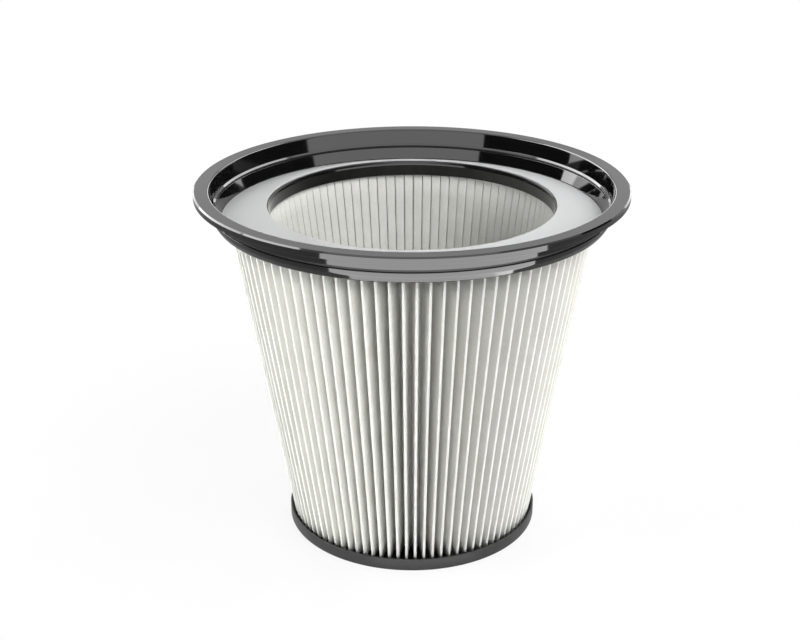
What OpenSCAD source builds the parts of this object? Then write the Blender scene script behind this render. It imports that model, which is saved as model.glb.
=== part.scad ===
// Conical pleated pre-filter for a dust extractor or wet and dry vacuum.
// It stands on its end cap: axis along +Z, the cap's underside on z = 0,
// the flange that hangs in the machine's rim at the top.
// Profiles are drawn as [radius, height]. All sizes are in millimetres.

/* [Overall] */
// Height from the cap's underside to the top of the rim
total_h = 221; // [180:1:300]
// Diameter over the flange
flange_d = 260; // [254:1:290]
// Diameter over the end cap
cap_d = 158; // [150:1:168]

/* [Collar] */
// Diameter of the air throat
throat_d = 172; // [160:1:176]
// Thickness of the flange plate
flange_t = 4.1; // [3:0.1:6]
// Step in from the flange to the band that locates it
band_inset = 8.5; // [7:0.1:9]

/* [Seal] */
// Thickness of the seal at its rounded inner edge
seal_in_t = 1.2; // [0.8:0.05:1.6]
// Thickness of the seal at its outer edge
seal_out_t = 0.6; // [0.5:0.05:1]

/* [Pleats] */
// Number of pleats in the closed sheet
pleat_count = 91; // [60:1:96]
// Width of each outer ridge, over both pinched layers
ridge_w = 1.5; // [1.3:0.1:2]
// Thickness of the sheet at a ridge and at a valley floor
pinch_t = 0.6; // [0.4:0.05:0.8]
// Width of the valley floor between two pleats
valley_w = 0.45; // [0.3:0.05:0.8]
// Gap between the two layers of a pleat, at the ridge
layer_gap = 0.3; // [0.2:0.05:0.5]
// Gap between the two layers of a pleat, at its open inner end
mouth_gap = 0.5; // [0.3:0.05:0.8]
// Radial depth of a pleat at the end cap
depth_low = 19; // [14:0.1:24]
// Turn of the first ridge away from the front
first_ridge = 1.45; // [0:0.05:4]

/* [End cap] */
// Height of the cap's outer wall
cap_h = 7.7; // [6:0.1:12]
// Thickness of the cap's wall
cap_wall = 1.3; // [1:0.1:2]
// Thickness of the cap's floor
cap_floor = 2.2; // [1.5:0.1:3]
// Depth of the adhesive bed in the cap
bed_t = 2.5; // [2:0.1:3.5]

/* [Hidden] */
$fn = 180;

flange_r = flange_d / 2;
throat_r = throat_d / 2;
cap_r = cap_d / 2;
edge = 0.3;              // small broken edge on moulded corners

// Flange ring: flat rim, outer plate and locating band.
rim_out = flange_r - 1.6;
rim_out_drop = 1;
rim_in = flange_r - 8.6;
dish_r = flange_r - 9.3;
rim_in_drop = 0.9;
band_r = flange_r - band_inset;
band_low = 10.4;         // depth of the joint with the end ring
neck_r = flange_r - 11.4;
bead_r = flange_r - 12.5; // small bead that ends the flange ring's wall
bead_rise = 1.2;
bead_edge = 0.25;

// End ring: groove, skirt, dish wall, sloping floor and throat.
gap_r = flange_r - 11.8;  // back of the open joint under the bead
gap_low = 11.3;
step_r = flange_r - 12.5;
step_low = 11.6;
lip_r = flange_r - 9.6;
groove_r = flange_r - 10.9;
groove_top = 11.3;
groove_low = 13.4;
skirt_r = flange_r - 10.3;
skirt_top = 13.7;
skirt_side = flange_r - 10.05;
skirt_side_top = 14.2;
skirt_bend = flange_r - 10.5;
skirt_bend_drop = 15.8;
skirt_mid = flange_r - 12.6;
skirt_mid_drop = 18.8;
skirt_in = flange_r - 17.8;
skirt_low = 20.8;
wall_foot_r = flange_r - 15.2;
wall_foot = 18.2;
floor_out = flange_r - 15.3;
floor_out_drop = 19;
floor_in = throat_r + 2.2;
floor_in_drop = 12.2;
floor_t = 1.4;
lip_round = 1.2;
throat_wall = 1.6;
collar_h = 21.3;         // depth of the plane on which the pleats end
channel_r = flange_r - 19.7;

// Heights of the sloping floor and of its underside at radius r.
floor_slope = (floor_out_drop - floor_in_drop) / (floor_out - floor_in);
function floor_drop(r) = floor_in_drop + (r - floor_in) * floor_slope;
channel_out = floor_drop(channel_r) + floor_t;
channel_in_r = throat_r + throat_wall;
channel_in = floor_drop(channel_in_r) + floor_t;

// Seal: a shallow cone that rises to a rounded inner edge. The roll of
// that edge is a quarter round that meets the cone where it is tangent.
seal_out = floor_out - 0.1;
seal_out_drop = floor_out_drop - seal_out_t;
seal_hole = throat_r + 0.35;
roll_r = seal_hole + seal_in_t;
seal_tilt = atan((seal_out_drop - floor_in_drop + seal_in_t) / (seal_out - roll_r));
roll_steps = 6;

// Pleated sheet: radii over the outer ridges and at the inner folds.
step_deg = 360 / pleat_count;
media_top = total_h - collar_h;
media_low = cap_floor + bed_t;
ridge_top_r = flange_r - 20.7;
fold_top_r = throat_r + 1.8;
ridge_low_r = cap_r - cap_wall - 1.6;
fold_low_r = ridge_low_r - depth_low;
ridge_corner = 0.3;      // rounding of a ridge on its outside
mouth_corner = 0.35;     // rounding where a layer turns in at the inner face
inner_corner = 0.08;     // rounding on the hollow side of a fold

cap_edge = 0.8;

// A profile point at radius r and depth d under the rim.
function at(r, d) = [r, total_h - d];

// Points of an arc in the profile, centred at radius r and depth d.
function roll(r, d, rad, a0, a1, n) =
  [for (i = [0:n]) let (a = a0 + (a1 - a0) * i / n) at(r + rad * cos(a), d - rad * sin(a))];

// A plan point at distance x along the direction a, y to its left.
function plan(x, y, a, z) = [x * cos(a) - y * sin(a), x * sin(a) + y * cos(a), z];

// Four plan points over one fold: half width h, rounding c, towards s.
function fold(r, h, c, s, a, z) =
  [plan(r - s * c, -h, a, z), plan(r, c - h, a, z), plan(r, h - c, a, z), plan(r - s * c, h, a, z)];

// Direction of ridge number i.
function ridge_dir(i) = -90 + first_ridge + i * step_deg;

// The sheet's outer side: over a ridge, down to a valley floor, and on.
function outside(ro, ri, z) =
  [for (i = [0:pleat_count - 1])
    each concat(
      fold(ro, ridge_w / 2, ridge_corner, 1, ridge_dir(i), z),
      fold(ri + pinch_t, valley_w / 2, inner_corner, -1, ridge_dir(i + 0.5), z))];

// Its inner side: the end of the gap under a ridge, then the flat face
// from that gap's mouth to the next one.
function inside(ro, ri, z) =
  [for (i = [0:pleat_count - 1])
    each concat(
      fold(ro - pinch_t, layer_gap / 2, inner_corner, 1, ridge_dir(i), z),
      [plan(ri + mouth_corner, mouth_gap / 2, ridge_dir(i), z),
       plan(ri, mouth_gap / 2 + mouth_corner, ridge_dir(i), z),
       plan(ri, -mouth_gap / 2 - mouth_corner, ridge_dir(i + 1), z),
       plan(ri + mouth_corner, -mouth_gap / 2, ridge_dir(i + 1), z)])];

module flange_ring() {
  color([0.09, 0.09, 0.1])
    rotate_extrude()
      polygon([at(rim_in, 0), at(rim_out, 0), at(flange_r, rim_out_drop),
               at(flange_r, flange_t - edge), at(flange_r - edge, flange_t),
               at(band_r, flange_t), at(band_r, band_low),
               at(bead_r, band_low), at(bead_r, band_low - bead_edge),
               at(neck_r, band_low - bead_rise), at(dish_r, rim_in_drop)]);
}

module end_ring() {
  color([0.08, 0.08, 0.09])
    rotate_extrude()
      polygon(concat(
        [at(gap_r, band_low), at(lip_r, band_low),
         at(groove_r, groove_top), at(groove_r, groove_low),
         at(skirt_r, skirt_top), at(skirt_side, skirt_side_top),
         at(skirt_bend, skirt_bend_drop), at(skirt_mid, skirt_mid_drop),
         at(skirt_in, skirt_low), at(channel_r, skirt_low),
         at(channel_r, channel_out), at(channel_in_r, channel_in),
         at(channel_in_r, collar_h), at(throat_r, collar_h)],
        roll(throat_r + lip_round, floor_in_drop + lip_round, lip_round, 180, 90, 6),
        [at(floor_in, floor_in_drop), at(floor_out, floor_out_drop),
         at(wall_foot_r, wall_foot), at(step_r, step_low), at(gap_r, gap_low)]));
}

module seal_ring() {
  color([0.78, 0.79, 0.8])
    rotate_extrude()
      polygon(concat(
        [at(seal_out, floor_drop(seal_out)), at(seal_out, seal_out_drop)],
        roll(roll_r, floor_in_drop, seal_in_t, 90 + seal_tilt, 180, roll_steps),
        [at(floor_in, floor_in_drop)]));
}

module upper_bond() {
  color([0.16, 0.16, 0.17])
    rotate_extrude()
      polygon([at(channel_in_r, channel_in), at(channel_r, channel_out),
               at(channel_r, collar_h), at(channel_in_r, collar_h)]);
}

// A soft, thick sheet is folded round the cone and joined to itself. It is
// pinched thin at the ridges and valley floors and swells between them, so
// the inner face is a ring of flat strips with the pleats' gaps between.
// Each side of the sheet is one closed loop at the top and one below.
module pleated_media() {
  n = 8 * pleat_count;
  ot = 0;
  ob = n;
  it = 2 * n;
  ib = 3 * n;
  faces = [for (k = [0:n - 1]) let (m = (k + 1) % n)
    each [[ot + k, ot + m, ob + m], [ot + k, ob + m, ob + k],
          [it + k, ib + m, it + m], [it + k, ib + k, ib + m],
          [ot + k, it + k, it + m], [ot + k, it + m, ot + m],
          [ob + k, ib + m, ib + k], [ob + k, ob + m, ib + m]]];
  color([0.93, 0.93, 0.9])
    polyhedron(
      points = concat(
        outside(ridge_top_r, fold_top_r, media_top),
        outside(ridge_low_r, fold_low_r, media_low),
        inside(ridge_top_r, fold_top_r, media_top),
        inside(ridge_low_r, fold_low_r, media_low)),
      faces = faces);
}

module lower_bond() {
  color([0.16, 0.16, 0.17])
    translate([0, 0, cap_floor])
      cylinder(h = bed_t, r = cap_r - cap_wall);
}

module bottom_cap() {
  color([0.3, 0.3, 0.31])
    rotate_extrude()
      polygon([[0, 0], [cap_r - cap_edge, 0], [cap_r, cap_edge],
               [cap_r, cap_h - edge], [cap_r - edge, cap_h],
               [cap_r - cap_wall, cap_h], [cap_r - cap_wall, cap_floor],
               [0, cap_floor]]);
}

flange_ring();
end_ring();
seal_ring();
upper_bond();
pleated_media();
lower_bond();
bottom_cap();
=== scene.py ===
# %% [markdown]
# # A conical vacuum pre-filter
# A pleated cone of filter sheet hangs from a glossy black collar and ends in a matt
# dark cap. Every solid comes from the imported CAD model, in metres, with its axis on Z
# and the cap's underside at zero. This notebook dresses those solids for the camera:
# it turns finer skins for the moulded rings, folds the soft sheet, gives every piece a
# procedural finish, and sets up a plain white studio like the photograph's.

import math

import bpy
import numpy as np
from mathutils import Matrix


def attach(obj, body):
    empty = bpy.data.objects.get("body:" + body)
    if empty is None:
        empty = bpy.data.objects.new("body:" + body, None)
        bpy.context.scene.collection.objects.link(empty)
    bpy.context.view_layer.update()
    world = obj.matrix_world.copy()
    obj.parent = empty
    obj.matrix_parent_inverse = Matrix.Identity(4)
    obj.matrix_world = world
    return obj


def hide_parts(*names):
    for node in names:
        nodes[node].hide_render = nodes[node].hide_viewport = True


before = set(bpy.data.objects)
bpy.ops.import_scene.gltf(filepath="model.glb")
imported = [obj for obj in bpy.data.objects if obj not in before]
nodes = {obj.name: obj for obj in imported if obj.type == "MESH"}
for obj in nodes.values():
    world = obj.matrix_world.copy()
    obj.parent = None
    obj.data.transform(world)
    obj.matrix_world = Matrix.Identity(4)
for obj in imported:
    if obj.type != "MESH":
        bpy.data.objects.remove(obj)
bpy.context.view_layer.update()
print("nodes:", sorted(nodes))

# %% [markdown]
# ## Sizes
# The source of the CAD part writes its profiles as a radius and a depth under the rim,
# in millimetres. The skins repeat those numbers, so they are kept in the same form and
# turned into metres in one place.

# %% Sizes of the part
MM = 0.001
TOTAL_H = 221.0
FLANGE_R = 130.0
THROAT_R = 86.0
CAP_R = 79.0


def below_rim(pairs):
    """Profile points given as (radius, depth under the rim) become (radius, height)."""
    pts = np.array(pairs, float)
    pts[:, 1] = TOTAL_H - pts[:, 1]
    return pts


# %% [markdown]
# ## Turned skins with true edges
# A moulded ring has no knife edges: each corner is a small radius, and that radius is
# what catches the light. A Bevel modifier could round the solid, but it works on
# facets. Here a profile of straight lines is rounded first, by replacing every corner
# with an arc that touches both of its sides. The outward direction of the arc is known
# at each of its points, so the skin carries exact normals, and the flat bands between
# the arcs reflect like flat bands.

# %% Round a closed profile
def rounded(points, radii, steps=5):
    """Round each corner of a closed profile.

    For a corner with sides pointing to the last and the next point, the arc starts at
    the distance radius / tan(half the corner's angle) along the first side. Two arcs
    that would meet on a short side share it in proportion. The arc's points are the
    start, less the radius times the first side's normal, plus the radius times a normal
    that turns evenly from the first side's to the second's. A hollow corner takes the
    same formula with the radius's sign changed. The normals come back too.
    """
    p = np.array(points, float)
    r = np.broadcast_to(np.asarray(radii, float), (len(p),)).copy()
    to_last = np.roll(p, 1, 0) - p
    to_next = np.roll(p, -1, 0) - p
    len_last = np.hypot(*to_last.T)
    len_next = np.hypot(*to_next.T)
    u = to_last / len_last[:, None]
    v = to_next / len_next[:, None]
    area = np.sum(p[:, 0] * np.roll(p[:, 1], -1) - np.roll(p[:, 0], -1) * p[:, 1])
    turn = 1.0 if area > 0 else -1.0
    n_in = turn * np.stack([-u[:, 1], u[:, 0]], 1)
    n_out = turn * np.stack([v[:, 1], -v[:, 0]], 1)
    bend = turn * (v[:, 0] * u[:, 1] - v[:, 1] * u[:, 0])
    sign = np.where(bend > 0, 1.0, -1.0)
    half = np.arccos(np.clip((u * v).sum(1), -1, 1)) / 2
    want = r / np.tan(half)
    share_last = 0.98 * len_last * want / np.maximum(want + np.roll(want, 1), 1e-9)
    share_next = 0.98 * len_next * want / np.maximum(want + np.roll(want, -1), 1e-9)
    reach = np.minimum(want, np.minimum(share_last, share_next))
    r = reach * np.tan(half)
    t = np.linspace(0, 1, steps)[None, :, None]
    swing = np.arccos(np.clip((n_in * n_out).sum(1), -1, 1))[:, None, None]
    swing = np.maximum(swing, 1e-6)
    n = (np.sin((1 - t) * swing) * n_in[:, None] + np.sin(t * swing) * n_out[:, None]) / np.sin(swing)
    start = (p + u * reach[:, None])[:, None]
    k = (sign * r)[:, None, None]
    arc = start - k * n_in[:, None] + k * n
    return arc.reshape(-1, 2), n.reshape(-1, 2)


# %% Make a mesh from rings of points
def ring_mesh(name, co, closed=True, normals=None):
    """A mesh over a grid of points: the first index goes round the axis, the second along
    the profile. Four neighbouring points make a face. Where the profile ends on the
    axis, its points there are one and the faces round it are triangles."""
    around, m = co.shape[:2]
    on_axis = np.hypot(co[0, :, 0], co[0, :, 1]) < 1e-9
    index = np.arange(around)[:, None] * m + np.arange(m)[None]
    index = np.where(on_axis[None], np.arange(m)[None], index)
    j = np.arange(m if closed else m - 1)
    j2 = (j + 1) % m
    nxt = np.roll(index, -1, 0)
    quads = np.stack([index[:, j], nxt[:, j], nxt[:, j2], index[:, j2]], 2)
    plain = quads[:, ~on_axis[j] & ~on_axis[j2]].reshape(-1, 4)
    start = quads[:, on_axis[j]][..., [0, 2, 3]].reshape(-1, 3)
    end = quads[:, on_axis[j2]][..., [0, 1, 2]].reshape(-1, 3)
    used, flat = np.unique(np.concatenate([plain.ravel(), start.ravel(), end.ravel()]),
                           return_inverse=True)
    split = np.cumsum([plain.size, start.size])
    parts = np.split(flat, split)
    faces = parts[0].reshape(-1, 4).tolist() + np.concatenate(parts[1:]).reshape(-1, 3).tolist()
    mesh = bpy.data.meshes.new(name)
    mesh.from_pydata(co.reshape(-1, 3)[used].tolist(), [], faces)
    mesh.shade_smooth()
    if normals is not None:
        mesh.normals_split_custom_set_from_vertices(normals.reshape(-1, 3)[used].tolist())
    piece = bpy.data.objects.new(name, mesh)
    bpy.context.scene.collection.objects.link(piece)
    print(name, "faces:", len(faces))
    return piece


# %% Turn a profile round the axis
AROUND = 360


def turned(name, profile, normals, node, slot, closed=True):
    """Spin a profile in the radius and height plane round the Z axis.

    A point of the skin is (radius * cos a, radius * sin a, height) for the angle a,
    in metres. Its normal is the profile's normal turned by the same angle. The profile
    runs anticlockwise, up its outer side, so that the faces point outwards.
    """
    a = np.linspace(0, 2 * np.pi, AROUND, endpoint=False)
    spin = np.stack([np.cos(a), np.sin(a)], 1)

    def carry(pairs, scale):
        level = np.broadcast_to(pairs[None, :, 1:], (AROUND, len(pairs), 1))
        return scale * np.concatenate([spin[:, None] * pairs[None, :, :1], level], 2)

    piece = ring_mesh(name, carry(profile, MM), closed, carry(normals, 1.0))
    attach(piece, "root")
    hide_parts(node)
    return piece


# %% [markdown]
# ## Flange ring
# The upper moulding: a flat rim with a rounded inner edge and a bevel outside, the flange
# plate, the band under it, and the dish's upper wall, which leans in as it goes down and
# ends in a small bead. It is one section.

# %% Flange ring
flange_profile = below_rim([
    (120.95, 0), (118.6, 9.2), (117.5, 10.15), (117.5, 10.4),
    (121.5, 10.4), (121.5, 4.1), (130, 4.1), (130, 0.9), (129.2, 0)])
flange_radii = [1.3, 0.4, 0.12, 0.12, 0.3, 0.4, 0.3, 0.12, 0.12]
flange_skin = turned("flange_skin", *rounded(flange_profile, flange_radii, 8),
                     "flange_ring", "collar")

# %% [markdown]
# ## End ring
# The lower moulding: the groove under the band, the skirt that turns in below it, the
# dish's lower wall, the sloping floor, and the throat with its lip. The lip leans back
# a few degrees over its first 1.5 mm, which draws the thin bright line round the throat.

# %% End ring
FLOOR_IN = (88.2, 12.2)
FLOOR_OUT = (114.7, 19.0)
FLOOR_SLOPE = (FLOOR_OUT[1] - FLOOR_IN[1]) / (FLOOR_OUT[0] - FLOOR_IN[0])
FLOOR_T = 1.4
COLLAR_H = 21.3


def floor_depth(r):
    """Depth of the sloping floor under the rim at radius r."""
    return FLOOR_IN[1] + (r - FLOOR_IN[0]) * FLOOR_SLOPE


end_profile = below_rim([
    (118.2, 10.4), (118.2, 11.3), (117.5, 11.6), (114.8, 18.2), FLOOR_OUT, FLOOR_IN,
    (86.5, 12.2), (86.25, 13.6), (THROAT_R, 14.6), (THROAT_R, COLLAR_H), (87.6, COLLAR_H),
    (87.6, floor_depth(87.6) + FLOOR_T), (110.3, floor_depth(110.3) + FLOOR_T),
    (110.3, 20.8), (112.2, 20.8), (117.4, 18.8), (119.5, 15.4), (119.95, 12.6),
    (119.1, 12.35), (119.1, 11.3), (120.4, 10.4)])
end_radii = [0.05, 0.1, 0.3, 0.2, 0.1, 1.0, 0.35, 0.5, 1.0, 0.2, 0.2, 0.1, 0.1, 0.1, 0.6,
             2.5, 2.5, 0.35, 0.2, 0.25, 0.2]
end_line, end_normals = rounded(end_profile, end_radii, 7)
end_skin = turned("end_skin", end_line, end_normals, "end_ring", "collar")

# %% [markdown]
# ## Face seal
# A light grey gasket lies on the sloping floor. It is a shallow cone that grows thicker
# towards the throat, where it rolls over and back under. The shade under that roll is
# the thin dark line between the seal and the throat's bright lip.

# %% Face seal
SEAL_OUT = 114.6
SEAL_IN = 87.0
seal_profile = below_rim([
    (SEAL_OUT, 18.7), (SEAL_IN, 11.25), (SEAL_IN, 11.9), (SEAL_IN + 0.4, 12.2), FLOOR_IN,
    (SEAL_OUT, floor_depth(SEAL_OUT))])
seal_radii = [0.2, 0.45, 0.2, 0.05, 0.05, 0.05]
seal_skin = turned("seal_skin", *rounded(seal_profile, seal_radii, 9), "seal_ring", "seal")

# %% [markdown]
# ## End cap
# A shallow closed tray, moulded in a tough matt plastic. Its outer foot is a broad
# radius and the top of its wall a small one.

# %% End cap
CAP_H = 7.7
CAP_WALL = 1.3
CAP_FLOOR = 2.2
cap_profile = np.array([
    (0.02, 0), (CAP_R, 0), (CAP_R, CAP_H), (CAP_R - CAP_WALL, CAP_H),
    (CAP_R - CAP_WALL, CAP_FLOOR), (0.02, CAP_FLOOR)])
cap_line, cap_normals = rounded(cap_profile, [0.001, 0.9, 0.3, 0.3, 0.3, 0.001], 6)
on_tray = cap_line[:, 0] > 0.1
cap_line = np.vstack([[0, 0], cap_line[on_tray], [0, CAP_FLOOR]])
cap_normals = np.vstack([[0, -1], cap_normals[on_tray], [0, 1]])
cap_skin = turned("cap_skin", cap_line, cap_normals, "bottom_cap", "cap", closed=False)

# %% [markdown]
# ## The pleated sheet
# One thick, soft nonwoven is folded round the cone and joined to itself. It is pinched
# thin at the outer ridges and at the valley floors, and swells between them, so from
# inside it shows flat strips with narrow gaps. Solidify on a zigzag would give it one
# thickness all over. Here both of its sides are worked out, as half a pleat that is
# mirrored and turned from ridge to ridge, at a row of heights down the cone.

# %% Sizes of the sheet
PLEATS = 91
FIRST_RIDGE = 1.45
SHEET_TOP = TOTAL_H - COLLAR_H
SHEET_LOW = 4.7
RIDGE_R = (76.1, 109.3)
FACE_R = (57.1, 87.8)
RIDGE_W = 1.5
SQUARENESS = 0.7
PINCH_T = 0.6
VALLEY_W = 0.45
GAP_END = 0.3
GAP_MOUTH = 0.5
MOUTH_ROUND = 0.35
SWELL = 0.3
CROWN = 0.12
ROWS = 16


# %% One side of half a pleat
def eased(n, inner=False):
    """n shares from 0 to 1, evenly spaced, with or without the two ends."""
    return np.linspace(0, 1, n + 2)[1:-1] if inner else np.linspace(0, 1, n)


def outer_half(ridge, face, half_step):
    """The outer side from a ridge's crest to the middle of the next valley.

    The crest is a quarter of an ellipse across half the ridge's width, squared up by
    raising its sine and cosine to the power SQUARENESS. The valley floor
    is a smaller one, turned by half a step. Between them the sheet runs straight, plus
    a swelling of SWELL * sin(pi * t) at the share t of the way, square to the line.
    """
    a = eased(6) * np.pi / 2
    crest_x = 0.5 * (1 - np.cos(a) ** SQUARENESS)
    crest_y = RIDGE_W / 2 * np.sin(a) ** SQUARENESS
    crest = np.stack([ridge - crest_x, np.broadcast_to(crest_y, ridge.shape[:1] + a.shape)], 2)
    b = (1 - eased(5)) * np.pi / 2
    floor_x = face + PINCH_T + 0.3 * (1 - np.cos(b))
    floor_y = -VALLEY_W / 2 * np.sin(b)
    valley = np.stack([floor_x * np.cos(half_step) - floor_y * np.sin(half_step),
                       floor_x * np.sin(half_step) + floor_y * np.cos(half_step)], 2)
    t = eased(5, True)[None, :, None]
    start, way = crest[:, -1:], valley[:, :1] - crest[:, -1:]
    square = way[..., ::-1] * np.array([-1, 1])
    square = square / np.linalg.norm(square, axis=2, keepdims=True)
    flank = start + way * t - square * SWELL * np.sin(np.pi * t) * np.sign(square[..., :1])
    return np.concatenate([crest, flank, valley], 1)


def inner_half(ridge, face, half_step):
    """The inner side from the end of a gap, under a ridge, to the middle of a strip.

    The gap's end is a quarter circle and its mouth a rounded corner. The strip's middle
    is the mouth's corner dropped square onto the valley's direction, and the strip
    crowns inwards by CROWN times a parabola.
    """
    level = np.ones_like(ridge)
    a = eased(3) * np.pi / 2
    end = np.stack([ridge - PINCH_T - GAP_END / 2 * (1 - np.cos(a)),
                    level * GAP_END / 2 * np.sin(a)], 2)
    c = eased(5) * np.pi / 2
    mouth = np.stack([face + MOUTH_ROUND * (1 - np.sin(c)),
                      level * (GAP_MOUTH / 2 + MOUTH_ROUND * (1 - np.cos(c)))], 2)
    t = eased(4, True)[None, :, None]
    wall = end[:, -1:] + (mouth[:, :1] - end[:, -1:]) * t
    along = np.array([np.cos(half_step), np.sin(half_step)])
    corner = mouth[:, -1:]
    middle = (corner @ along)[..., None] * along
    s = eased(5)[1:][None, :, None]
    strip = corner + (middle - corner) * s - along * CROWN * s * (2 - s)
    return np.concatenate([end, wall, mouth, strip], 1)


# %% Turn half a pleat into the whole loop
def whole_loop(half, sway):
    """Mirror each half pleat, then turn it to every ridge: shape (rows, pleats, points).

    The mirror image runs back from the valley to the ridge, so a pleat's points are the
    mirrored half and the half itself, less the two points that it shares. Sway moves a
    point sideways by its share of the way out to the ridge, row by row and pleat by
    pleat, as a hand-laid fold is never quite straight.
    """
    back = half[:, ::-1] * np.array([1, -1])
    pleat = np.concatenate([back, half[:, 1:-1]], 1)
    low, high = pleat[..., 0].min(1, keepdims=True), pleat[..., 0].max(1, keepdims=True)
    out = (pleat[..., 0] - low) / (high - low)
    turn = np.radians(-90 + FIRST_RIDGE + np.arange(PLEATS) * 360 / PLEATS)[None, :, None]
    x = pleat[:, None, :, 0] + 0.4 * sway[1][:, :, None] * out[:, None]
    y = pleat[:, None, :, 1] + sway[0][:, :, None] * out[:, None] ** 2
    return np.stack([x * np.cos(turn) - y * np.sin(turn),
                     x * np.sin(turn) + y * np.cos(turn)], 3)


# %% Fold the sheet
share = eased(ROWS)[:, None]
ridge = RIDGE_R[0] + (RIDGE_R[1] - RIDGE_R[0]) * share
face = FACE_R[0] + (FACE_R[1] - FACE_R[0]) * share
height = SHEET_LOW + (SHEET_TOP - SHEET_LOW) * share
half_step = math.pi / PLEATS

rng = np.random.default_rng(91)
waves = np.arange(1, 4)[:, None, None]
phase = rng.uniform(0, 2 * np.pi, (2, 3, 1, PLEATS))
size = rng.normal(0, 0.02, (2, 3, 1, PLEATS)) / waves
drift = np.sin(np.pi * waves * share[None] + phase)
sway = (size * drift).sum(1) * np.sin(np.pi * np.clip(share, 0.02, 0.98))
print("largest sway of a ridge, mm:", round(float(np.abs(sway).max()), 2))

outer = whole_loop(outer_half(ridge, face, half_step), sway)
inner = whole_loop(inner_half(ridge, face, half_step), sway)


def sheet_mesh(name):
    """Join the two loops of each row down the cone, and to each other at both ends."""
    n = outer.shape[1] * outer.shape[2]
    level = np.broadcast_to(height[:, :, None, None], outer.shape[:3] + (1,))
    sides = [np.concatenate([s, level], 3).reshape(-1, 3) * MM for s in (outer, inner)]
    k = np.arange(n)
    k2 = (k + 1) % n
    row = np.arange(ROWS - 1)[:, None] * n
    skin = np.stack([row + k, row + k2, row + n + k2, row + n + k], 2).reshape(-1, 4)
    lining = skin[:, ::-1] + ROWS * n
    low, top, inside = 0, (ROWS - 1) * n, ROWS * n
    foot = np.stack([low + k, inside + k, inside + k2, low + k2], 1)
    head = np.stack([top + k, top + k2, inside + top + k2, inside + top + k], 1)
    faces = np.concatenate([skin, lining, foot, head])
    mesh = bpy.data.meshes.new(name)
    mesh.from_pydata(np.concatenate(sides).tolist(), [], faces.tolist())
    mesh.shade_smooth()
    piece = bpy.data.objects.new(name, mesh)
    bpy.context.scene.collection.objects.link(piece)
    print(name, "triangles:", 2 * len(faces))
    return piece


pleated_sheet = sheet_mesh("pleated_sheet")
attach(pleated_sheet, "root")
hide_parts("pleated_media")

# %% [markdown]
# The folded line is longer round the collar than round the cap, so the sheet is cut as a strip with
# slightly slanting sides.


# %% [markdown]
# ## The adhesive bed in the cap
# The sheet's lower end is potted: adhesive is poured into the cap, the sheet is pressed
# in, and the adhesive climbs the wall and the pleats before it sets. The bed is a
# height worked out over a disc of rings, with a rise at the wall and one at each pleat.

# %% Adhesive bed
BED_R = CAP_R - CAP_WALL


def bed_height(r, a):
    """The bed's level: 4.7 mm, plus a rise that fades away from the wall, plus a smaller
    one under the pleats that follows their number, plus slow waves."""
    wall = 2.1 * np.exp(-(BED_R - r) / 1.1)
    under = np.exp(-((r - 67.0) / 8.5) ** 4)
    pleats = 0.35 * under * (1 - np.cos(PLEATS * (a + np.pi / 2)))
    waves = 0.18 * under * (np.sin(7 * a + 1) + np.sin(17 * a + 0.13 * r) + np.sin(41 * a + 2))
    calm = 0.08 * np.sin(0.21 * r * np.cos(a)) * np.sin(0.17 * r * np.sin(a))
    return SHEET_LOW + np.maximum(wall + pleats + waves * (1 + wall) + calm, 0) * np.minimum(r, 5) / 5


bed_a = np.linspace(0, 2 * np.pi, 8 * PLEATS, endpoint=False)[:, None]
bed_r = np.concatenate([BED_R - np.array([0.0, 0.4, 0.8, 1.3, 2.0, 3.0, 4.5]),
                        np.linspace(71.0, 54.0, 8), [45.0, 30.0, 15.0, 0.0]])[None]
top = np.stack([bed_r * np.cos(bed_a), bed_r * np.sin(bed_a), bed_height(bed_r, bed_a)], 2)
foot_r = np.array([[0.0, BED_R]])
foot = np.stack([foot_r * np.cos(bed_a), foot_r * np.sin(bed_a),
                 np.full((len(bed_a), 2), CAP_FLOOR)], 2)
potting = ring_mesh("potting", np.concatenate([foot, top], 1) * MM, closed=False)
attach(potting, "root")
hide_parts("lower_bond")

# %% [markdown]
# ## Materials
# Gloss black plastic for the collar, matt grey rubber for the seal, bonded nonwoven for
# the sheet, dark satin plastic for the cap, and cured adhesive under the ends of the
# sheet. Two effects are shared, so they are node groups: a fine grain in the surface,
# and the cloudy fibre pattern of the nonwoven.

# %% Helpers for node trees
def new_group(name, inputs, outputs):
    """A shader node group with named sockets; each entry is (name, type, default)."""
    tree = bpy.data.node_groups.new(name, "ShaderNodeTree")
    for label, kind, value in inputs:
        s = tree.interface.new_socket(label, in_out="INPUT", socket_type=kind)
        if value is not None:
            s.default_value = value
    for label, kind in outputs:
        tree.interface.new_socket(label, in_out="OUTPUT", socket_type=kind)
    return tree, tree.nodes.new("NodeGroupInput"), tree.nodes.new("NodeGroupOutput")


def new_node(tree, kind, props=None, inputs=None):
    """Add a node, set its properties, and set its inputs by name or number."""
    n = tree.nodes.new(kind)
    for key, value in (props or {}).items():
        setattr(n, key, value)
    for key, value in (inputs or {}).items():
        n.inputs[key].default_value = value
    return n


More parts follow.
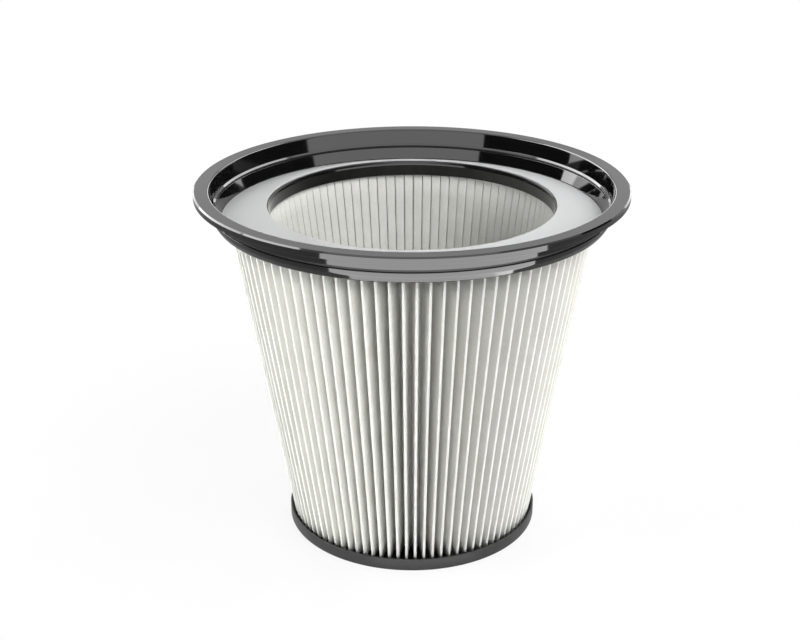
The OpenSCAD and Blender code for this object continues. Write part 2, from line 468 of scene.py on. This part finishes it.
# %% Shared group: surface grain
grain, g_in, g_out = new_group(
    "surface_grain",
    [("Size", "NodeSocketFloat", 900.0), ("Clouds", "NodeSocketFloat", 30.0)],
    [("Height", "NodeSocketFloat"), ("Patch", "NodeSocketFloat")])
g_co = new_node(grain, "ShaderNodeTexCoord")
g_fine = new_node(grain, "ShaderNodeTexNoise", inputs={"Detail": 3.0, "Roughness": 0.6})
g_patch = new_node(grain, "ShaderNodeTexNoise", inputs={"Detail": 2.0})
grain.links.new(g_co.outputs["Object"], g_fine.inputs["Vector"])
grain.links.new(g_co.outputs["Object"], g_patch.inputs["Vector"])
grain.links.new(g_in.outputs["Size"], g_fine.inputs["Scale"])
grain.links.new(g_in.outputs["Clouds"], g_patch.inputs["Scale"])
grain.links.new(g_fine.outputs["Fac"], g_out.inputs["Height"])
grain.links.new(g_patch.outputs["Fac"], g_out.inputs["Patch"])


def new_material(name, color, rough, **sockets):
    """A Principled material: base colour, roughness and any other socket by name."""
    m = bpy.data.materials.new(name)
    m.use_nodes = True
    shader = m.node_tree.nodes["Principled BSDF"]
    shader.inputs["Base Color"].default_value = (*color, 1)
    shader.inputs["Roughness"].default_value = rough
    for key, value in sockets.items():
        shader.inputs[key.replace("_", " ")].default_value = value
    return m, m.node_tree, shader


def add_grain(tree, shader, size, clouds, depth, rough_low, rough_high, tones=None):
    """Feed a grain group's height to the normal and its patches to the roughness, and
    to the colour where two tones are given."""
    g = new_node(tree, "ShaderNodeGroup", props={"node_tree": grain})
    g.inputs["Size"].default_value = size
    g.inputs["Clouds"].default_value = clouds
    bump = new_node(tree, "ShaderNodeBump", inputs={"Strength": 1.0, "Distance": depth})
    tree.links.new(g.outputs["Height"], bump.inputs["Height"])
    tree.links.new(bump.outputs["Normal"], shader.inputs["Normal"])
    spread = new_node(tree, "ShaderNodeMapRange",
                      inputs={"From Min": 0.3, "From Max": 0.7,
                              "To Min": rough_low, "To Max": rough_high})
    tree.links.new(g.outputs["Patch"], spread.inputs["Value"])
    tree.links.new(spread.outputs["Result"], shader.inputs["Roughness"])
    if tones:
        mix = new_node(tree, "ShaderNodeMix", props={"data_type": "RGBA"},
                       inputs={"A": (*tones[0], 1), "B": (*tones[1], 1)})
        tree.links.new(g.outputs["Patch"], mix.inputs["Factor"])
        tree.links.new(mix.outputs["Result"], shader.inputs["Base Color"])
    return g


# %% Gloss black collar
collar_mat, tree, shader = new_material("gloss_black_collar", (0.005, 0.005, 0.0053), 0.06, IOR=1.52)
add_grain(tree, shader, 260.0, 22.0, 0.0000015, 0.05, 0.075,
          ((0.004, 0.004, 0.0042), (0.006, 0.006, 0.0063)))

# %% Painted shade in the groove: a dull, rough black that stands in for the shade there
# Painted shade: the groove's faces get a rough black with weak reflections, so the groove reads as a
# shaded line.
groove_shade_mat, tree, shader = new_material("painted_groove_shade", (0.012, 0.012, 0.012), 0.5,
                                        IOR=1.5, Specular_IOR_Level=0.3)
add_grain(tree, shader, 900.0, 40.0, 0.00001, 0.42, 0.55,
          ((0.009, 0.009, 0.009), (0.015, 0.015, 0.0155)))

# %% Matt grey seal
seal_mat, tree, shader = new_material("matt_grey_seal", (0.64, 0.645, 0.65), 0.6,
                                      IOR=1.45, Specular_IOR_Level=0.3)
add_grain(tree, shader, 1600.0, 40.0, 0.00003, 0.5, 0.65,
          ((0.61, 0.615, 0.62), (0.67, 0.675, 0.68)))

# %% Satin dark cap
cap_mat, tree, shader = new_material("satin_dark_cap", (0.055, 0.055, 0.056), 0.4,
                                     IOR=1.48, Specular_IOR_Level=0.1)
add_grain(tree, shader, 1200.0, 30.0, 0.00002, 0.36, 0.46,
          ((0.049, 0.049, 0.05), (0.061, 0.061, 0.062)))

# %% Cured adhesive
bond_mat, tree, shader = new_material("cured_adhesive", (0.02, 0.02, 0.02), 0.4, IOR=1.45)
add_grain(tree, shader, 260.0, 18.0, 0.0002, 0.3, 0.5,
          ((0.016, 0.016, 0.015), (0.026, 0.025, 0.022)))

# %% Shared group: nonwoven fibres
fibre, f_in, f_out = new_group(
    "nonwoven_fibre",
    [("Pale", "NodeSocketColor", (0.9, 0.9, 0.86, 1)),
     ("Shade", "NodeSocketColor", (0.8, 0.8, 0.75, 1)),
     ("Size", "NodeSocketFloat", 700.0)],
    [("Color", "NodeSocketColor"), ("Height", "NodeSocketFloat")])
f_co = new_node(fibre, "ShaderNodeTexCoord")
f_noise = new_node(fibre, "ShaderNodeTexNoise",
                   inputs={"Detail": 4.0, "Roughness": 0.65, "Distortion": 1.2})
f_cloud = new_node(fibre, "ShaderNodeTexNoise", inputs={"Scale": 90.0, "Detail": 2.0})
f_both = new_node(fibre, "ShaderNodeMix", inputs={"Factor": 0.35})
f_map = new_node(fibre, "ShaderNodeMapRange", inputs={"From Min": 0.38, "From Max": 0.62})
f_mix = new_node(fibre, "ShaderNodeMix", props={"data_type": "RGBA"})
fibre.links.new(f_co.outputs["Object"], f_noise.inputs["Vector"])
fibre.links.new(f_co.outputs["Object"], f_cloud.inputs["Vector"])
fibre.links.new(f_in.outputs["Size"], f_noise.inputs["Scale"])
fibre.links.new(f_noise.outputs["Fac"], f_both.inputs["A"])
fibre.links.new(f_cloud.outputs["Fac"], f_both.inputs["B"])
fibre.links.new(f_both.outputs["Result"], f_map.inputs["Value"])
fibre.links.new(f_map.outputs["Result"], f_mix.inputs["Factor"])
fibre.links.new(f_in.outputs["Shade"], f_mix.inputs["A"])
fibre.links.new(f_in.outputs["Pale"], f_mix.inputs["B"])
fibre.links.new(f_mix.outputs["Result"], f_out.inputs["Color"])
fibre.links.new(f_noise.outputs["Fac"], f_out.inputs["Height"])

# %% Filter sheet
sheet_mat, tree, shader = new_material("filter_sheet", (0.86, 0.86, 0.82), 0.85,
                                       IOR=1.4, Specular_IOR_Level=0.2)
g = new_node(tree, "ShaderNodeGroup", props={"node_tree": fibre},
             inputs={"Pale": (0.87, 0.87, 0.84, 1), "Shade": (0.79, 0.79, 0.745, 1)})
bump = new_node(tree, "ShaderNodeBump", inputs={"Strength": 1.0, "Distance": 0.00006})
tree.links.new(g.outputs["Color"], shader.inputs["Base Color"])
tree.links.new(g.outputs["Height"], bump.inputs["Height"])
tree.links.new(bump.outputs["Normal"], shader.inputs["Normal"])

# %% Give each piece its finish
FINISH = {"flange_skin": collar_mat, "end_skin": collar_mat, "seal_skin": seal_mat,
          "cap_skin": cap_mat, "potting": bond_mat, "upper_bond": bond_mat,
          "pleated_sheet": sheet_mat}
for piece_name, mat in FINISH.items():
    piece = bpy.data.objects[piece_name]
    piece.data.materials.clear()
    piece.data.materials.append(mat)
print("finished:", sorted(FINISH))

# %% Give the groove its painted shade
# The faces inside the groove take the painted shade material in place of the gloss black.
depth = TOTAL_H - end_line[:, 1]
in_groove = (depth > 10.9) & (depth < 12.5) & (end_line[:, 0] > 118.8)
in_groove = (in_groove & np.roll(in_groove, -1)).astype(np.int32)
end_skin.data.materials.append(groove_shade_mat)
end_skin.data.polygons.foreach_set("material_index", np.tile(in_groove, AROUND))
print("faces in the groove, each turn:", int(in_groove.sum()))

# %% [markdown]
# ## Studio
# The photograph is a plain product picture on white. The floor and the world are white
# for the camera, while the light on the object comes from soft lamps and from what the
# floor returns. The floor keeps some of its shading, so the object still has a shadow.

# %% White only for what looks at it
def white_when_seen(tree, plain, share_of_white, closer):
    """Mix a plain shader with white of strength 1, which camera, mirror and glass rays
    see by the given share, a socket."""
    path = new_node(tree, "ShaderNodeLightPath")
    seen = new_node(tree, "ShaderNodeMath", props={"operation": "MAXIMUM"})
    seen_too = new_node(tree, "ShaderNodeMath", props={"operation": "MAXIMUM"})
    part = new_node(tree, "ShaderNodeMath", props={"operation": "MULTIPLY"})
    if share_of_white is None:
        part.inputs[1].default_value = 1.0
    else:
        tree.links.new(share_of_white, part.inputs[1])
    white = new_node(tree, closer, inputs={"Color": (1, 1, 1, 1), "Strength": 1.0})
    blend = new_node(tree, "ShaderNodeMixShader")
    tree.links.new(path.outputs["Is Camera Ray"], seen.inputs[0])
    tree.links.new(path.outputs["Is Glossy Ray"], seen.inputs[1])
    tree.links.new(seen.outputs[0], seen_too.inputs[0])
    tree.links.new(path.outputs["Is Transmission Ray"], seen_too.inputs[1])
    tree.links.new(seen_too.outputs[0], part.inputs[0])
    tree.links.new(part.outputs[0], blend.inputs[0])
    tree.links.new(plain.outputs[0], blend.inputs[1])
    tree.links.new(white.outputs[0], blend.inputs[2])
    return blend


# %% Floor
def stage_mesh(name, co, faces):
    """A stage piece from points and faces."""
    mesh = bpy.data.meshes.new(name)
    mesh.from_pydata(co, [], faces)
    obj = bpy.data.objects.new(name, mesh)
    bpy.context.scene.collection.objects.link(obj)
    return obj


FLOOR_HALF = 8.0
FLOOR_Z = -0.0002
floor = stage_mesh("floor", [(-FLOOR_HALF, -FLOOR_HALF, FLOOR_Z), (FLOOR_HALF, -FLOOR_HALF, FLOOR_Z),
                             (FLOOR_HALF, FLOOR_HALF, FLOOR_Z), (-FLOOR_HALF, FLOOR_HALF, FLOOR_Z)],
                   [(0, 1, 2, 3)])
floor_mat, tree, shader = new_material("white_floor", (0.86, 0.86, 0.86), 0.9)
place = new_node(tree, "ShaderNodeTexCoord")
away = new_node(tree, "ShaderNodeVectorMath", props={"operation": "LENGTH"})
fade = new_node(tree, "ShaderNodeMapRange", props={"interpolation_type": "SMOOTHSTEP"},
                inputs={"From Min": 0.08, "From Max": 0.45, "To Min": 0.86, "To Max": 1.0})
tree.links.new(place.outputs["Object"], away.inputs[0])
tree.links.new(away.outputs["Value"], fade.inputs["Value"])
blend = white_when_seen(tree, shader, fade.outputs["Result"], "ShaderNodeEmission")
tree.links.new(blend.outputs[0], tree.nodes["Material Output"].inputs["Surface"])
floor.data.materials.append(floor_mat)

# %% World
WORLD_STRENGTH = 0.0
world = bpy.data.worlds.new("studio")
bpy.context.scene.world = world
world.use_nodes = True
tree = world.node_tree
back = tree.nodes["Background"]
back.inputs["Color"].default_value = (1, 1, 1, 1)
back.inputs["Strength"].default_value = WORLD_STRENGTH
blend = white_when_seen(tree, back, None, "ShaderNodeBackground")
tree.links.new(blend.outputs[0], tree.nodes["World Output"].inputs["Surface"])

# %% [markdown]
# ## Cards
# What makes black gloss plastic look black and glossy is what it mirrors. As on a
# studio table, a bright card stands and lies in front of the object, a dimmer one
# stands behind it and one hangs above, with black cards at its sides between them. They
# are seen only in reflections, so they shape the gloss and add no light to the sheet.

# %% Cards for reflections
def card(name, co, faces, strength):
    """A stage piece that only mirror rays see. Strength 0 makes a black card."""
    obj = stage_mesh(name, co, faces)
    m = bpy.data.materials.new(name)
    m.use_nodes = True
    m.node_tree.nodes.clear()
    glow = new_node(m.node_tree, "ShaderNodeEmission", inputs={"Strength": strength})
    out = new_node(m.node_tree, "ShaderNodeOutputMaterial")
    m.node_tree.links.new(glow.outputs[0], out.inputs["Surface"])
    obj.data.materials.append(m)
    for kind in ("camera", "diffuse", "transmission", "volume_scatter", "shadow"):
        setattr(obj, "visible_" + kind, False)
    return obj


def band_card(name, edges, rows, strength, steps=24):
    """A card bent round the axis between two azimuths, where 0 is the front and plus is
    the right. Rows are pairs of radius and height; edges may differ from row to row."""
    edges = np.broadcast_to(np.array(edges, float), (len(rows), 2))
    rows = np.array(rows, float)
    a = np.radians(edges[:, :1] + (edges[:, 1:] - edges[:, :1]) * np.linspace(0, 1, steps)[None])
    co = np.stack([rows[:, :1] * np.sin(a), -rows[:, :1] * np.cos(a),
                   np.broadcast_to(rows[:, 1:], a.shape)], 2).reshape(-1, 3)
    i, j = np.meshgrid(np.arange(len(rows) - 1), np.arange(steps - 1), indexing="ij")
    k = (i * steps + j).ravel()
    faces = np.stack([k, k + 1, k + steps + 1, k + steps], 1)
    return card(name, co.tolist(), faces.tolist(), strength)


FRONT = (-44.5, 66.0)
BACK = (124.7, 253.5)
HIGH = (155.0, 205.0)
FAR = 5.0
CARD_Z = 0.0004
NEAR_EDGES = [(-20, 31), (-22, 34), (-42, 69), (-42, 69), (-42.5, 66), (-43, 66), (-45, 68), (-45, 68)]
NEAR_ROWS = [(r, CARD_Z) for r in (0.083, 0.1, 0.118, 0.16, 0.5, 0.9, 1.6, FAR)]
NEAR = 4
band_card("card_front_near", NEAR_EDGES[:NEAR], NEAR_ROWS[:NEAR], 4.2)
band_card("card_front_low", NEAR_EDGES[NEAR - 1:], NEAR_ROWS[NEAR - 1:], 6.5)
band_card("card_front_high", FRONT, [(FAR, 0.0), (FAR, 4.2)], 2.6)
band_card("card_left_low", [(BACK[1] - 360, e[0]) for e in NEAR_EDGES], NEAR_ROWS, 0.45)
band_card("card_right_low", [(e[1], BACK[0]) for e in NEAR_EDGES], NEAR_ROWS, 0.45)
band_card("card_left_dark", (BACK[1] - 360, FRONT[0]), [(FAR, 0.0), (FAR, 3.4)], 0.0)
band_card("card_right_dark", (FRONT[1], BACK[0]), [(FAR, 0.0), (FAR, 3.4)], 0.0)
band_card("card_back_near", BACK, [(0.15, CARD_Z), (1.7, CARD_Z)], 0.4)
band_card("card_back_floor", BACK, [(1.7, CARD_Z), (FAR, CARD_Z)], 2.2)
band_card("card_back_low", BACK, [(FAR, 0.0), (FAR, 1.05)], 3.2)
band_card("card_back_mid", HIGH, [(FAR, 1.05), (FAR, 1.64)], 0.77)
band_card("card_back_high", HIGH, [(FAR, 1.64), (FAR, 3.4)], 1.03)
band_card("card_left_high", (HIGH[1] - 360, -75), [(FAR, 3.4), (FAR, 6.5)], 10.0)
band_card("card_left_rear", (HIGH[1] - 360, BACK[1] - 360), [(FAR, 1.05), (FAR, 3.4)], 8.0)
band_card("card_right_high", (110, HIGH[0]), [(FAR, 3.4), (FAR, 6.5)], 7.0)
band_card("card_right_rear", (BACK[0], HIGH[0]), [(FAR, 2.1), (FAR, 3.4)], 6.0)
band_card("card_above", (0, 360), [(3.2, 4.5), (0.01, 5.0)], 2.2, 49)


# %% Lamps
def soft_box(name, azimuth, elevation, distance, size, power, aim=(0, 0, 0.12)):
    """An area lamp at an azimuth from the front (right is plus) and an elevation."""
    a, e = math.radians(azimuth), math.radians(elevation)
    place = np.array(aim) + distance * np.array(
        [math.sin(a) * math.cos(e), -math.cos(a) * math.cos(e), math.sin(e)])
    lamp = bpy.data.lights.new(name, "AREA")
    lamp.shape = "RECTANGLE"
    lamp.size, lamp.size_y = size
    lamp.energy = power
    obj = bpy.data.objects.new(name, lamp)
    bpy.context.scene.collection.objects.link(obj)
    obj.location = place
    look = (np.array(aim) - place)
    obj.rotation_euler = (math.atan2(math.hypot(look[0], look[1]), -look[2]), 0,
                          math.atan2(-look[0], look[1]))
    obj.visible_camera = False
    obj.visible_glossy = False
    return obj


LAMPS = [("left", -80, 8, 1.6, (0.7, 0.7), 21.5),
         ("left_rear", -115, 8, 1.6, (0.7, 0.7), 6.2),
         ("right_rear", 115, 8, 1.6, (0.7, 0.7), 13.5),
         ("key", 55, 60, 1.6, (0.7, 0.7), 12),
         ("front_right", 38, 35, 1.6, (0.7, 0.7), 7.7),
         ("front_low", 15, 8, 1.6, (0.7, 0.7), 4.8),
         ("back", -175, 32, 1.6, (0.9, 0.9), 10.5)]
for lamp in LAMPS:
    soft_box(*lamp)
print("lamps:", [lamp[0] for lamp in LAMPS])

# %% [markdown]
# ## Camera
# The camera stands in front, at the height and tilt that the photograph's ellipses give.

# %% Camera
LENS_PX = 1435.0
IMAGE_W = 800
CENTRE_OFF_X = -12.0
CENTRE_OFF_Y = 0.5
camera_data = bpy.data.cameras.new("camera")
camera_data.sensor_fit = "HORIZONTAL"
camera_data.sensor_width = 36.0
camera_data.lens = LENS_PX * camera_data.sensor_width / IMAGE_W
camera_data.shift_x = CENTRE_OFF_X / IMAGE_W
camera_data.shift_y = CENTRE_OFF_Y / IMAGE_W
camera = bpy.data.objects.new("camera", camera_data)
bpy.context.scene.collection.objects.link(camera)
camera.location = (0, -0.8234, 0.4757)
camera.rotation_euler = (math.radians(67.32), 0, 0)
bpy.context.scene.camera = camera
bpy.context.scene.view_settings.view_transform = "Standard"
